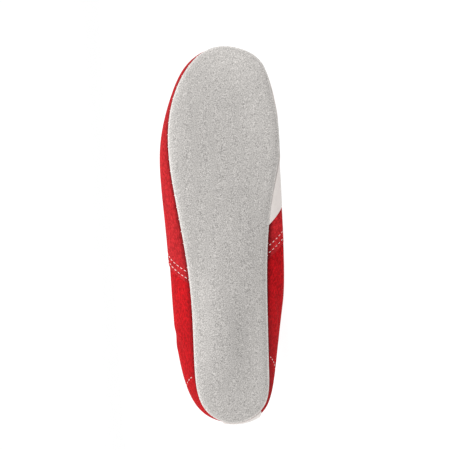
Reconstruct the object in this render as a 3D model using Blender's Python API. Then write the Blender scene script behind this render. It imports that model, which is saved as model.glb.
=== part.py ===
"""Right wrestling shoe with a soft suede sole, lying on its medial side on the floor.

The shoe is worked out in its own frame in millimetres: x from the heel to the toe, y towards the medial side,
z up from the sole. It is then laid down on the floor, so that the sole faces -Y and the toe points along +X.
"""

import math

import bpy
import numpy as np

MM = 0.001

# Driving sizes, in millimetres
LENGTH = 277.0
WALL = 2.0
GAP = 0.3
SOLE_THICK = 4.6
INSOLE_THICK = 2.5
INSOLE_INSET = 5.0
FEATHER_INSET = 0.9
OVERLAY_THICK = 0.9
OVERLAY_GAP = 0.45
OVERLAY_BED = 1.7
VAMP_STEP = 0.8
TONGUE_THICK = 3.0
TONGUE_GAP = 1.2
TONGUE_CROWN = 1.5

# Rise of the sole from the plane of its flat heel and forefoot
TOE_SPRING = 5.0
TOE_BREAK = 224.0
HEEL_ROLL = 1.6
HEEL_BREAK = 18.0
ARCH_RISE = 1.8
ARCH_STARTS = (62.0, 110.0)
ARCH_ENDS = (125.0, 172.0)
ARCH_ACROSS = (9.0, 28.0)

# Eyelets and lace
EYELET_PAIRS = 7
EYELET_FIRST = 4.2
EYELET_LAST = 6.0
EYELET_UP = 0.91
EYELET_INNER_R = 2.2
EYELET_OUTER_R = 4.0
EYELET_HEIGHT = 1.0
EYELET_SIDES = 12
LACE_WIDTH = 6.0
LACE_THICK = 1.4
LACE_ABOVE = 3.0
LACE_OVER = 0.6
LACE_CROWN = 1.5
LACE_SHARES = (0.12, 0.5, 0.88)
LACE_FLAT = 0.7

# The floor: a point of the sole edge that lies on it, and its slopes in the shoe's frame
FLOOR_POINT = (205.0, 37.4, 3.0)
FLOOR_SLOPE_ALONG = -0.06
FLOOR_SLOPE_UP = -0.065

# The last: one row for each meridian of the upper, from the heel round the lateral side to the toe and back
# name, sole edge (x, y), widest (x, y, z), shoulder (x, y, z), top line (x, y, z)
MERIDIANS = (
    ("heel_back", (-0.7, 4), (-2.4, 4, 26), (3, 3.5, 66), (14, 2, 108)),
    ("heel_lateral_round", (10.6, -18.3), (7.2, -21.6, 27), (12, -19.5, 67), (21, -18, 109)),
    ("heel_lateral", (40, -25.2), (39, -34.7, 30), (38, -31.5, 69), (41, -30, 112)),
    ("rear_waist_lateral", (80, -27), (80, -39.8, 32), (73, -37, 72), (72, -33, 115)),
    ("waist_lateral", (122, -31.7), (122, -43.2, 27), (108, -37, 70), (101, -14.5, 113)),
    ("rear_joint_lateral", (165, -39.6), (165, -48.2, 22), (152, -38, 56), (141, -11, 85)),
    ("joint_lateral", (205, -44.8), (205, -50.2, 19), (194, -37.5, 49), (173, -10, 64)),
    ("toe_lateral", (241, -40.2), (241, -42, 17), (229, -30, 43), (185.5, -7.5, 57)),
    ("toe_lateral_round", (268.3, -24.5), (266, -27.8, 15.5), (250.5, -17, 39), (189.3, -4.5, 55.3)),
    ("toe_tip", (277, -2), (275.5, -2, 15), (256, -2, 37), (190.5, -1, 55)),
    ("toe_medial_round", (267, 22.3), (265.5, 20.5, 15), (250.5, 13, 39), (189.3, 2.5, 55.3)),
    ("toe_medial", (241, 31.8), (240.5, 28.3, 15), (230, 23.5, 43), (185.5, 5.5, 57)),
    ("joint_medial", (205, 37.4), (203, 33.9, 13), (194, 31, 50), (173, 8, 64)),
    ("rear_joint_medial", (165, 31.7), (165, 38.3, 16), (152, 35.5, 57), (141, 9, 85)),
    ("waist_medial", (122, 28.2), (122, 40.7, 22), (108, 37.5, 70), (101, 13.5, 113)),
    ("rear_waist_medial", (80, 28.4), (80, 37.6, 30), (72, 38, 73), (70, 38.5, 114)),
    ("heel_medial", (40, 29.4), (39, 34.4, 30), (37, 33.5, 70), (40, 34, 111)),
    ("heel_medial_round", (12, 25.8), (7.4, 27, 28), (12, 24.5, 67), (21, 21.5, 109)),
)
STATIONS = len(MERIDIANS)
TOE_STATION = 9
LEVELS = (0.0, 0.17, 0.5, 1.0)
WRAP = 6
SMALL_STEP = 0.01
SHARP_ANGLE = math.radians(45.0)

# Rear edge of the vamp on each side, counted from the heel: a leaning edge has its station at the sole,
# and how far it leans with height and height squared
SEAM_LATERAL = (3.5, 1.05, 2.45)
SEAM_MEDIAL = (3.92, 1.6, 1.48)

# Mesh density: columns of the sole to a station, of a quarter and of half the vamp, and the upper's rows
SOLE_COLUMNS = 4
QUARTER_COLUMNS = 20
VAMP_COLUMNS = 20
SEAM_SHARE = 0.006
UPPER_ROWS = (0.0, 0.03, 0.07, 0.12, 0.19, 0.28, 0.39, 0.5, 0.61, 0.72, 0.82, 0.91, 1.0)

# Outsole section: inward from the edge and height, from the flat bottom over the turned edge to the top
SOLE_SECTION = ((6.0, 0.0), (2.6, 0.5), (0.8, 1.8), (0.0, 3.2), (0.5, 4.3), (3.0, SOLE_THICK))
SOLE_SHARES = (0.3, 0.62)
SPINE_X = (40.0, 200.0)
SPINE_Y = (4.0, -2.0)

# White panel on the medial forefoot, in stations around and levels up, with its rear edge as a leaning one
PANEL_FRONT = 10.4
PANEL_REAR = (13.53, -1.75, -2.6)
PANEL_BOTTOM = 0.008
PANEL_TOP = (0.24, 0.42)
PANEL_GRID = (25, 10)
PANEL_EASE = 0.25

# White strip up the heel, in stations around and levels up
STRIP_LATERAL = 0.3
STRIP_MEDIAL = (-0.85, -0.4)
STRIP_UP = (0.03, 0.97)
STRIP_GRID = (7, 14)

# Tongue: levels of its columns under each throat edge, and stations of its first and last rows
TONGUE_LEVELS = (0.78, 0.89, 1.0)
TONGUE_STATIONS = (4.1, 7.5)
TONGUE_ROWS = 10
# Rows of the tongue past the collar: x and z from its first row, and width as a share of it
TONGUE_TOP = ((-8.0, 4.0, 0.86), (-13.0, 14.0, 0.7))

# Colours as 8-bit sRGB, and roughness
COLOURS = {
    "red_suede": ((190, 30, 40), 0.9),
    "grey_suede": ((200, 197, 193), 0.95),
    "white_leather": ((232, 226, 222), 0.55),
    "insole_cloth": ((225, 220, 210), 0.85),
    "tongue_suede": ((176, 26, 36), 0.9),
    "eyelet_metal": ((205, 205, 208), 0.35),
    "lace_cloth": ((238, 236, 232), 0.8),
}


def smooth(low, high, value):
    """0 up to low, 1 from high, eased between them."""
    share = np.clip((value - low) / (high - low), 0.0, 1.0)
    return share * share * (3.0 - 2.0 * share)


def spline_weights(knots, where):
    """Weight of each knot's value in the natural cubic spline read at each place."""
    knots = np.asarray(knots, float)
    where = np.asarray(where, float)
    count = len(knots)
    step = np.diff(knots)
    left = np.zeros((count, count))
    right = np.zeros((count, count))
    left[0, :2] = 2.0, 1.0
    left[-1, -2:] = 1.0, 2.0
    right[0, :2] = -3.0 / step[0], 3.0 / step[0]
    right[-1, -2:] = -3.0 / step[-1], 3.0 / step[-1]
    for i in range(1, count - 1):
        before = 1.0 / step[i - 1]
        after = 1.0 / step[i]
        left[i, i - 1 : i + 2] = before, 2.0 * (before + after), after
        right[i, i - 1 : i + 2] = -3.0 * before**2, 3.0 * (before**2 - after**2), 3.0 * after**2
    slopes = np.linalg.solve(left, right)
    span = np.clip(np.searchsorted(knots, where, side="right") - 1, 0, count - 2)
    width = step[span][:, None]
    local = ((where - knots[span]) / step[span])[:, None]
    ends = np.eye(count)
    weights = (1.0 + 2.0 * local) * (1.0 - local) ** 2 * ends[span]
    weights += local**2 * (3.0 - 2.0 * local) * ends[span + 1]
    weights += local * (1.0 - local) ** 2 * width * slopes[span]
    weights -= local**2 * (1.0 - local) * width * slopes[span + 1]
    return weights


def ring_weights(around):
    """Weight of each meridian on the closed ring, at places given in stations."""
    knots = np.arange(-WRAP, STATIONS + WRAP + 1)
    padded = spline_weights(knots, np.mod(around, STATIONS))
    weights = np.zeros((len(padded), STATIONS))
    for column, knot in enumerate(knots):
        weights[:, knot % STATIONS] += padded[:, column]
    return weights


SOLE_EDGE = np.array([row[1] for row in MERIDIANS], float)
RINGS = np.array(
    [[(*row[1], 0.0) for row in MERIDIANS]] + [[row[level] for row in MERIDIANS] for level in (2, 3, 4)],
    float,
)


def sole_edge(around, inward):
    """Outline of the sole in plan, moved inward by a distance."""
    around = np.asarray(around, float)
    edge = ring_weights(around) @ SOLE_EDGE
    ahead = ring_weights(around + SMALL_STEP) @ SOLE_EDGE
    behind = ring_weights(around - SMALL_STEP) @ SOLE_EDGE
    tangent = ahead - behind
    tangent /= np.linalg.norm(tangent, axis=1)[:, None]
    return edge + np.asarray(inward)[..., None] * np.stack([-tangent[:, 1], tangent[:, 0]], axis=1)


def lift(x, y):
    """Rise of the sole at a point in plan: toe spring, rolled heel end and medial arch."""
    toe = TOE_SPRING * np.clip((x - TOE_BREAK) / (LENGTH - TOE_BREAK), 0.0, None) ** 2
    heel = HEEL_ROLL * np.clip((HEEL_BREAK - x) / HEEL_BREAK, 0.0, None) ** 2
    arch = ARCH_RISE * smooth(*ARCH_STARTS, x) * (1.0 - smooth(*ARCH_ENDS, x)) * smooth(*ARCH_ACROSS, y)
    return toe + heel + arch


def surface(around, up):
    """Outer face of the upper: around in stations from the heel, up from 0 at the sole to 1 at the top."""
    up_weights = spline_weights(LEVELS, up)
    points = np.einsum("nk,ns,ksc->nc", up_weights, ring_weights(around), RINGS)
    outline = sole_edge(around, 0.0)
    feather = sole_edge(around, FEATHER_INSET)
    points[:, :2] += up_weights[:, :1] * (feather - outline)
    points[:, 2] += up_weights[:, 0] * (SOLE_THICK + GAP + lift(feather[:, 0], feather[:, 1]))
    return points


def normals(around, up):
    """Outward normals of the upper's outer face."""
    along = surface(around + SMALL_STEP, up) - surface(around - SMALL_STEP, up)
    rise = surface(around, up + SMALL_STEP) - surface(around, up - SMALL_STEP)
    normal = np.cross(along, rise)
    return normal / np.linalg.norm(normal, axis=1)[:, None]


def floor_y(points):
    """The floor's place across the shoe, under or over each point."""
    along = FLOOR_SLOPE_ALONG * (points[..., 0] - FLOOR_POINT[0])
    rise = FLOOR_SLOPE_UP * (points[..., 2] - FLOOR_POINT[2])
    return FLOOR_POINT[1] + along + rise


def pressed(points, clearance):
    """Points that would pass the floor are pressed back to it, with a clearance for what lies between."""
    flat = points.copy()
    flat[..., 1] = np.minimum(flat[..., 1], floor_y(points) - clearance)
    return flat


def leaning(edge, up):
    """Station of a leaning edge at each level."""
    return edge[0] + edge[1] * up + edge[2] * up**2


def under_panel(around, up):
    """1 where the white panel covers the upper, 0 elsewhere."""
    behind_front = smooth(PANEL_FRONT - PANEL_EASE, PANEL_FRONT, around)
    rear = leaning(PANEL_REAR, up)
    behind_rear = smooth(rear, rear + PANEL_EASE, around)
    return behind_front * (1.0 - behind_rear)


def unit_grid(size):
    """Two grids of shares from 0 to 1, along the first and the second direction."""
    return np.meshgrid(np.linspace(0.0, 1.0, size[0]), np.linspace(0.0, 1.0, size[1]), indexing="ij")


def spread(share, up):
    """Stations of columns, whose shares 0 to 4 are heel, lateral seam, toe, medial seam and heel."""
    lateral = leaning(SEAM_LATERAL, up)
    medial = leaning(SEAM_MEDIAL, up)
    bounds = (0.0, lateral, TOE_STATION, STATIONS - medial, STATIONS)
    around = np.zeros_like(share + up)
    for piece, (start, end) in enumerate(zip(bounds[:-1], bounds[1:])):
        around += np.clip(share - piece, 0.0, 1.0) * (end - start)
    return around


def layer(around, up, outward, clearance):
    """Grid of points at a distance from the last, from grids of places on it."""
    points = surface(around.ravel(), up.ravel()).reshape(*around.shape, 3)
    normal = normals(around.ravel(), up.ravel()).reshape(*around.shape, 3)
    return pressed(points + np.asarray(outward)[..., None] * normal, clearance)


def laid_down(points):
    """Points in the shoe's frame turned so that the floor is the plane z = 0, in metres."""
    down = np.array([-FLOOR_SLOPE_ALONG, 1.0, -FLOOR_SLOPE_UP])
    down /= np.linalg.norm(down)
    along = np.array([1.0, 0.0, 0.0]) - down * down[0]
    along /= np.linalg.norm(along)
    across = np.cross(-down, along)
    turned = points @ np.array([along, across, -down]).T
    turned[:, 2] += down @ np.array(FLOOR_POINT)
    return turned * MM


def linear(channel):
    """Linear value of one 8-bit sRGB channel."""
    value = channel / 255.0
    return value / 12.92 if value <= 0.04045 else ((value + 0.055) / 1.055) ** 2.4


def material(name):
    """The Principled material of one kind of stuff, made once."""
    if name in bpy.data.materials:
        return bpy.data.materials[name]
    colour, roughness = COLOURS[name]
    made = bpy.data.materials.new(name)
    made.use_nodes = True
    shader = made.node_tree.nodes["Principled BSDF"]
    shader.inputs["Base Color"].default_value = (*map(linear, colour), 1.0)
    shader.inputs["Roughness"].default_value = roughness
    shader.inputs["Metallic"].default_value = 1.0 if name.endswith("metal") else 0.0
    return made


def add_object(name, points, faces, stuff, shoe):
    """An object of the shoe from points in the shoe's frame."""
    mesh = bpy.data.meshes.new(name)
    mesh.from_pydata(laid_down(points).tolist(), [], faces)
    mesh.materials.append(material(stuff))
    mesh.shade_smooth()
    mesh.set_sharp_from_angle(angle=SHARP_ANGLE)
    made = bpy.data.objects.new(name, mesh)
    bpy.context.scene.collection.objects.link(made)
    made.parent = shoe
    return made


def add_shell(name, outer, inner, closed, stuff, shoe):
    """A solid wall between two grids of points, closed along its first direction or open."""
    count, rows = outer.shape[:2]
    layer_size = count * rows

    def at(i, j, inside):
        return inside * layer_size + (i % count) * rows + j

    faces = []
    spans = count if closed else count - 1
    for i in range(spans):
        for j in range(rows - 1):
            faces.append([at(i, j, 0), at(i + 1, j, 0), at(i + 1, j + 1, 0), at(i, j + 1, 0)])
            faces.append([at(i, j + 1, 1), at(i + 1, j + 1, 1), at(i + 1, j, 1), at(i, j, 1)])
        last = rows - 1
        faces.append([at(i + 1, 0, 0), at(i, 0, 0), at(i, 0, 1), at(i + 1, 0, 1)])
        faces.append([at(i, last, 0), at(i + 1, last, 0), at(i + 1, last, 1), at(i, last, 1)])
    if not closed:
        last = count - 1
        for j in range(rows - 1):
            faces.append([at(0, j, 0), at(0, j + 1, 0), at(0, j + 1, 1), at(0, j, 1)])
            faces.append([at(last, j + 1, 0), at(last, j, 0), at(last, j, 1), at(last, j + 1, 1)])
    points = np.concatenate([outer.reshape(-1, 3), inner.reshape(-1, 3)])
    return add_object(name, points, faces, stuff, shoe)


def add_loft(name, loops, closed, stuff, shoe):
    """A solid through a row of loops, capped at both ends or closed into a ring."""
    loops = np.asarray(loops)
    count, size = loops.shape[:2]
    faces = []
    for k in range(count if closed else count - 1):
        here = k * size
        after = ((k + 1) % count) * size
        for i in range(size):
            beside = (i + 1) % size
            faces.append([here + i, here + beside, after + beside, after + i])
    if not closed:
        faces.append(list(range(size))[::-1])
        faces.append(list(range((count - 1) * size, count * size)))
    return add_object(name, loops.reshape(-1, 3), faces, stuff, shoe)


def sole_loop(around, inward, height):
    """Ring of the sole at a distance in from its edge and a height over its bottom."""
    plan = sole_edge(around, inward)
    z = height + lift(plan[:, 0], plan[:, 1])
    return np.column_stack([plan, z])


def spine_loop(around, share, height):
    """Ring of the sole part of the way from its spine to its edge."""
    edge = sole_edge(around, 0.0)
    x = np.clip(edge[:, 0], *SPINE_X)
    y = SPINE_Y[0] + (SPINE_Y[1] - SPINE_Y[0]) * x / LENGTH
    spine = np.column_stack([x, y])
    plan = spine + share * (edge - spine)
    z = height + lift(plan[:, 0], plan[:, 1])
    return np.column_stack([plan, z])


def make_outsole(around, shoe):
    """Soft sole with its turned edge, arch and toe spring."""
    loops = [spine_loop(around, share, 0.0) for share in SOLE_SHARES]
    loops += [sole_loop(around, inward, height) for inward, height in SOLE_SECTION]
    loops += [spine_loop(around, share, SOLE_THICK) for share in SOLE_SHARES[::-1]]
    add_loft("outsole", [pressed(loop, 0.0) for loop in loops], False, "grey_suede", shoe)


def make_insole(around, shoe):
    """Thin insole inside the upper, on the sole."""
    bottom = SOLE_THICK + GAP
    top = bottom + INSOLE_THICK
    loops = [
        spine_loop(around, SOLE_SHARES[0], bottom),
        sole_loop(around, INSOLE_INSET, bottom),
        sole_loop(around, INSOLE_INSET, top),
        spine_loop(around, SOLE_SHARES[0], top),
    ]
    add_loft("insole", loops, False, "insole_cloth", shoe)


def upper_shares():
    """Shares of the upper's columns, with a close pair of columns at each edge of the vamp."""
    quarter = np.linspace(0.0, 1.0 - SEAM_SHARE, QUARTER_COLUMNS)
    vamp = np.linspace(1.0 + SEAM_SHARE, 2.0, VAMP_COLUMNS)
    lateral = np.concatenate([quarter, vamp])
    return np.concatenate([lateral, 4.0 - lateral[-2:0:-1]])


def make_upper(shoe):
    """Hollow upper, open at the collar, the throat and underneath, with the vamp lapped over the quarters."""
    share, up = np.meshgrid(upper_shares(), UPPER_ROWS, indexing="ij")
    around = spread(share, up)
    step = VAMP_STEP * ((share > 1.0) & (share < 3.0))
    bed = OVERLAY_BED * under_panel(around, up)
    outer = layer(around, up, step, bed)
    inner = layer(around, up, -WALL, bed + WALL)
    sole_top = SOLE_THICK + GAP + lift(inner[..., 0], inner[..., 1])
    inner[..., 2] = np.maximum(inner[..., 2], sole_top)
    add_shell("upper", outer, inner, True, "red_suede", shoe)


def make_overlay(name, around, up, base, shoe):
    """Thin leather piece that lies on the upper, whose outer face is at base from the last."""
    outer = layer(around, up, base + OVERLAY_GAP + OVERLAY_THICK, 0.0)
    inner = layer(around, up, base + OVERLAY_GAP, OVERLAY_THICK)
    add_shell(name, outer, inner, False, "white_leather", shoe)


def make_medial_panel(shoe):
    """White panel on the medial forefoot, its rear edge leaning forward as it rises."""
    share, height = unit_grid(PANEL_GRID)
    up = PANEL_BOTTOM + (PANEL_TOP[0] + (PANEL_TOP[1] - PANEL_TOP[0]) * share - PANEL_BOTTOM) * height
    rear = leaning(PANEL_REAR, up)
    make_overlay("medial_panel", PANEL_FRONT + (rear - PANEL_FRONT) * share, up, VAMP_STEP, shoe)


def make_heel_strip(shoe):
    """White strip up the back of the heel, narrower at the collar."""
    share, height = unit_grid(STRIP_GRID)
    medial = STRIP_MEDIAL[0] + (STRIP_MEDIAL[1] - STRIP_MEDIAL[0]) * height
    around = medial + (STRIP_LATERAL - medial) * share
    up = STRIP_UP[0] + (STRIP_UP[1] - STRIP_UP[0]) * height
    make_overlay("heel_strip", around, up, 0.0, shoe)


def make_tongue(shoe):
    """Soft sheet under the throat, from the vamp to a little past the collar."""
    rows = np.linspace(*TONGUE_STATIONS, TONGUE_ROWS)
    depth = WALL + TONGUE_GAP
    sides = []
    for mirrored in (False, True):
        around, up = np.meshgrid(STATIONS - rows if mirrored else rows, TONGUE_LEVELS, indexing="ij")
        flat = surface(around.ravel(), up.ravel()).reshape(TONGUE_ROWS, -1, 3)
        normal = normals(around.ravel(), up.ravel()).reshape(TONGUE_ROWS, -1, 3)
        sides.append((flat, normal))
    (lateral, lateral_normal), (medial, medial_normal) = sides
    middle_normal = lateral_normal[:, -1] + medial_normal[:, -1]
    middle_normal /= np.linalg.norm(middle_normal, axis=1)[:, None]
    middle = (lateral[:, -1] + medial[:, -1]) / 2.0 + TONGUE_CROWN * middle_normal
    points = np.concatenate([lateral, middle[:, None], medial[:, ::-1]], axis=1)
    normal = np.concatenate([lateral_normal, middle_normal[:, None], medial_normal[:, ::-1]], axis=1)
    first_row = points[0] - middle[0]
    first_normal = normal[:1]
    for x, z, width in TONGUE_TOP:
        row = middle[0] + width * first_row + np.array([x, 0.0, z])
        points = np.concatenate([row[None], points])
        normal = np.concatenate([first_normal, normal])
    outer = points - depth * normal
    inner = points - (depth + TONGUE_THICK) * normal
    add_shell("tongue", outer, inner, False, "tongue_suede", shoe)


def eyelet_places():
    """Stations of the eyelets on the lateral side, from the collar to the vamp."""
    return np.linspace(EYELET_FIRST, EYELET_LAST, EYELET_PAIRS)


def make_eyelet(name, station, shoe):
    """Flat metal ring on the upper beside the throat."""
    at = np.array([station]), np.array([EYELET_UP])
    normal = normals(*at)[0]
    centre = surface(*at)[0] + OVERLAY_GAP * normal
    first = np.cross(normal, (1.0, 0.0, 0.0))
    first /= np.linalg.norm(first)
    second = np.cross(normal, first)
    section = [(0.0, EYELET_INNER_R), (EYELET_HEIGHT, EYELET_INNER_R)]
    section += [(EYELET_HEIGHT, EYELET_OUTER_R), (0.0, EYELET_OUTER_R)]
    loops = []
    for turn in range(EYELET_SIDES):
        angle = 2.0 * math.pi * turn / EYELET_SIDES
        radial = math.cos(angle) * first + math.sin(angle) * second
        loops.append([centre + height * normal + radius * radial for height, radius in section])
    add_loft(name, loops, True, "eyelet_metal", shoe)


def throat_point(station, share, above):
    """A point over the throat, share of the way from the lateral edge to the medial one, and its normal."""
    stations = np.array([station, STATIONS - station])
    top = np.ones(2)
    edges = surface(stations, top)
    edge_normals = normals(stations, top)
    normal = (1.0 - share) * edge_normals[0] + share * edge_normals[1]
    normal /= np.linalg.norm(normal)
    crown = LACE_CROWN * 4.0 * share * (1.0 - share)
    return (1.0 - share) * edges[0] + share * edges[1] + (above + crown) * normal, normal


def eyelet_point(station, medial):
    """The lace's middle over an eyelet, and the upper's normal there."""
    at = np.array([STATIONS - station if medial else station]), np.array([EYELET_UP])
    normal = normals(*at)[0]
    return surface(*at)[0] + LACE_ABOVE * normal, normal


def lace_crossing(start, end, from_medial, over):
    """Points and normals of one run of lace from an eyelet across the throat to the next one opposite."""
    run = [eyelet_point(start, from_medial)]
    for share in LACE_SHARES:
        across = 1.0 - share if from_medial else share
        raised = LACE_ABOVE + over * (1.0 - abs(2.0 * share - 1.0))
        run.append(throat_point(start + (end - start) * share, across, raised))
    return run


def lace_loops(run):
    """Flat six-sided sections along a run of points and normals."""
    points = np.array([point for point, _ in run])
    half = LACE_WIDTH / 2.0
    thick = LACE_THICK / 2.0
    flat = LACE_FLAT * half
    section = ((half, 0.0), (flat, thick), (-flat, thick), (-half, 0.0), (-flat, -thick), (flat, -thick))
    loops = []
    for k, (point, normal) in enumerate(run):
        along = points[min(k + 1, len(run) - 1)] - points[max(k - 1, 0)]
        along -= normal * (along @ normal)
        along /= np.linalg.norm(along)
        side = np.cross(normal, along)
        loops.append([point + wide * side + high * normal for wide, high in section])
    return loops


def make_lace(shoe):
    """Two strands that cross at each step up the throat and a bar at the vamp, joined into one solid."""
    stations = eyelet_places()[::-1]
    strands = []
    for strand, starts_medial in enumerate((False, True)):
        run = []
        medial = starts_medial
        for start, end in zip(stations[:-1], stations[1:]):
            run += lace_crossing(start, end, medial, LACE_OVER * strand)
            medial = not medial
        run.append(eyelet_point(stations[-1], medial))
        strands.append(run)
    bar = [eyelet_point(stations[0], False)]
    bar += [throat_point(stations[0], share, LACE_ABOVE) for share in LACE_SHARES]
    bar.append(eyelet_point(stations[0], True))
    lace = add_loft("lace", lace_loops(strands[0]), False, "lace_cloth", shoe)
    for name, run in (("lace_second_strand", strands[1]), ("lace_bar", bar)):
        helper = add_loft(name, lace_loops(run), False, "lace_cloth", shoe)
        helper.hide_render = True
        helper.display_type = "WIRE"
        join = lace.modifiers.new(name, "BOOLEAN")
        join.operation = "UNION"
        join.solver = "EXACT"
        join.object = helper


def centre_on_floor(shoe):
    """Moves the whole shoe so that its box is centred over the origin."""
    bpy.context.view_layer.update()
    corners = [
        child.matrix_world @ vertex.co
        for child in shoe.children
        if not child.hide_render
        for vertex in child.data.vertices
    ]
    for axis in (0, 1):
        values = [corner[axis] for corner in corners]
        shoe.location[axis] = -(min(values) + max(values)) / 2.0


def main():
    for old in list(bpy.data.objects):
        bpy.data.objects.remove(old, do_unlink=True)
    shoe = bpy.data.objects.new("shoe", None)
    bpy.context.scene.collection.objects.link(shoe)
    around = np.arange(STATIONS * SOLE_COLUMNS) / SOLE_COLUMNS
    make_outsole(around, shoe)
    make_insole(around, shoe)
    make_upper(shoe)
    make_tongue(shoe)
    make_medial_panel(shoe)
    make_heel_strip(shoe)
    for pair, station in enumerate(eyelet_places(), start=1):
        make_eyelet(f"eyelet_lateral_{pair}", station, shoe)
        make_eyelet(f"eyelet_medial_{pair}", STATIONS - station, shoe)
    make_lace(shoe)
    centre_on_floor(shoe)


main()
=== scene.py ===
"""Looks of the right wrestling shoe that lies on its medial side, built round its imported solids.

The shoe's own frame is in millimetres: x from the heel to the toe, y towards the medial side, z up.
Its skin is read at places given in stations around it, from the heel over the lateral side, and levels up.
"""

import math

import bpy
import numpy as np
from mathutils import Matrix, Vector


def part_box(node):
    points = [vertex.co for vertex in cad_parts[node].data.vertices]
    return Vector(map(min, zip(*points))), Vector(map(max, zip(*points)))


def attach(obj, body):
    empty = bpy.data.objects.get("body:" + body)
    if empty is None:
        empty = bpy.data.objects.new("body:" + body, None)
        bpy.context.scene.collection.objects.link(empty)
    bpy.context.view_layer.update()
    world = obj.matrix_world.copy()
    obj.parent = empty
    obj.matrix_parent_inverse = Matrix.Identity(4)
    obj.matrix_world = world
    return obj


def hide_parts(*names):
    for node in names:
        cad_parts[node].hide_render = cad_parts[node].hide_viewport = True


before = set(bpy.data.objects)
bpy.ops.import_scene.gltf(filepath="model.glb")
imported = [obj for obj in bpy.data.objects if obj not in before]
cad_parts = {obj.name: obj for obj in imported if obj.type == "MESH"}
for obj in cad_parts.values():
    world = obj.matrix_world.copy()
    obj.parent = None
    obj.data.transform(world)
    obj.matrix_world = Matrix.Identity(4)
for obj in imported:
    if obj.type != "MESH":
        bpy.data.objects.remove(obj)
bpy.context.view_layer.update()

MM = 0.001

# Sizes shared with the solids, in millimetres
LENGTH = 277.0
WALL = 2.0
GAP = 0.3
SOLE_THICK = 4.6
INSOLE_THICK = 2.5
INSOLE_INSET = 5.0
FEATHER_INSET = 0.9
OVERLAY_THICK = 0.9
OVERLAY_GAP = 0.45
OVERLAY_BED = 1.7
VAMP_STEP = 0.8
TONGUE_THICK = 3.0
TONGUE_GAP = 1.2
TONGUE_CROWN = 1.5

# Rise of the sole from the plane of its flat heel and forefoot
TOE_SPRING = 5.0
TOE_BREAK = 224.0
HEEL_ROLL = 1.6
HEEL_BREAK = 18.0
ARCH_RISE = 1.8
ARCH_STARTS = (62.0, 110.0)
ARCH_ENDS = (125.0, 172.0)
ARCH_ACROSS = (9.0, 28.0)

# The floor: a point of the sole edge that lies on it, its slopes in the shoe's frame, and the bend where the
# shoe lies down on it
FLOOR_POINT = (205.0, 37.4, 3.0)
FLOOR_SLOPE_ALONG = -0.06
FLOOR_SLOPE_UP = -0.065
PRESS_SOFT = 0.25

# The last: one row for each meridian of the upper, from the heel round the lateral side to the toe and back
# name, sole edge (x, y), widest (x, y, z), shoulder (x, y, z), top line (x, y, z)
MERIDIANS = (
    ("heel_back", (-0.7, 4), (-2.4, 4, 26), (3, 3.5, 66), (14, 2, 108)),
    ("heel_lateral_round", (10.6, -18.3), (7.2, -21.6, 27), (12, -19.5, 67), (21, -18, 109)),
    ("heel_lateral", (40, -25.2), (39, -34.7, 30), (38, -31.5, 69), (41, -30, 112)),
    ("rear_waist_lateral", (80, -27), (80, -39.8, 32), (73, -37, 72), (72, -33, 115)),
    ("waist_lateral", (122, -31.7), (122, -43.2, 27), (108, -37, 70), (101, -14.5, 113)),
    ("rear_joint_lateral", (165, -39.6), (165, -48.2, 22), (152, -38, 56), (141, -11, 85)),
    ("joint_lateral", (205, -44.8), (205, -50.2, 19), (194, -37.5, 49), (173, -10, 64)),
    ("toe_lateral", (241, -40.2), (241, -42, 17), (229, -30, 43), (185.5, -7.5, 57)),
    ("toe_lateral_round", (268.3, -24.5), (266, -27.8, 15.5), (250.5, -17, 39), (189.3, -4.5, 55.3)),
    ("toe_tip", (277, -2), (275.5, -2, 15), (256, -2, 37), (190.5, -1, 55)),
    ("toe_medial_round", (267, 22.3), (265.5, 20.5, 15), (250.5, 13, 39), (189.3, 2.5, 55.3)),
    ("toe_medial", (241, 31.8), (240.5, 28.3, 15), (230, 23.5, 43), (185.5, 5.5, 57)),
    ("joint_medial", (205, 37.4), (203, 33.9, 13), (194, 31, 50), (173, 8, 64)),
    ("rear_joint_medial", (165, 31.7), (165, 38.3, 16), (152, 35.5, 57), (141, 9, 85)),
    ("waist_medial", (122, 28.2), (122, 40.7, 22), (108, 37.5, 70), (101, 13.5, 113)),
    ("rear_waist_medial", (80, 28.4), (80, 37.6, 30), (72, 38, 73), (70, 38.5, 114)),
    ("heel_medial", (40, 29.4), (39, 34.4, 30), (37, 33.5, 70), (40, 34, 111)),
    ("heel_medial_round", (12, 25.8), (7.4, 27, 28), (12, 24.5, 67), (21, 21.5, 109)),
)
STATIONS = len(MERIDIANS)
TOE_STATION = 9
LEVELS = (0.0, 0.17, 0.5, 1.0)
WRAP = 6
SMALL_STEP = 0.01

# Outsole section: inward from the edge and height, from the flat bottom over the turned edge to the top
SOLE_SECTION = ((6.0, 0.0), (2.6, 0.5), (0.8, 1.8), (0.0, 3.2), (0.5, 4.3), (3.0, SOLE_THICK))
# Its spine: ends along the shoe, place across at the heel and at the toe, and share of the innermost ring
SPINE_X = (40.0, 200.0)
SPINE_Y = (4.0, -2.0)
SPINE_SHARE = 0.02
# Columns to a station in the solid and here, rings of the bottom and the edge, and shares of the top rings
CAD_COLUMNS = 4
SOLE_COLUMNS = 20
SOLE_RINGS = 16
EDGE_RINGS = 18
SOLE_TOP_SHARES = (0.6, SPINE_SHARE)
# Shallow hollows of the soft sole: x, y, reach along, reach across, depth, and how late they fade to the edge
SOLE_HOLLOWS = (
    ("heel_hollow", 60.0, 6.0, 44.0, 15.0, 0.7),
    ("ball_hollow", 190.0, 2.0, 34.0, 22.0, 0.5),
)
HOLLOW_FADE = 4
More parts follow.
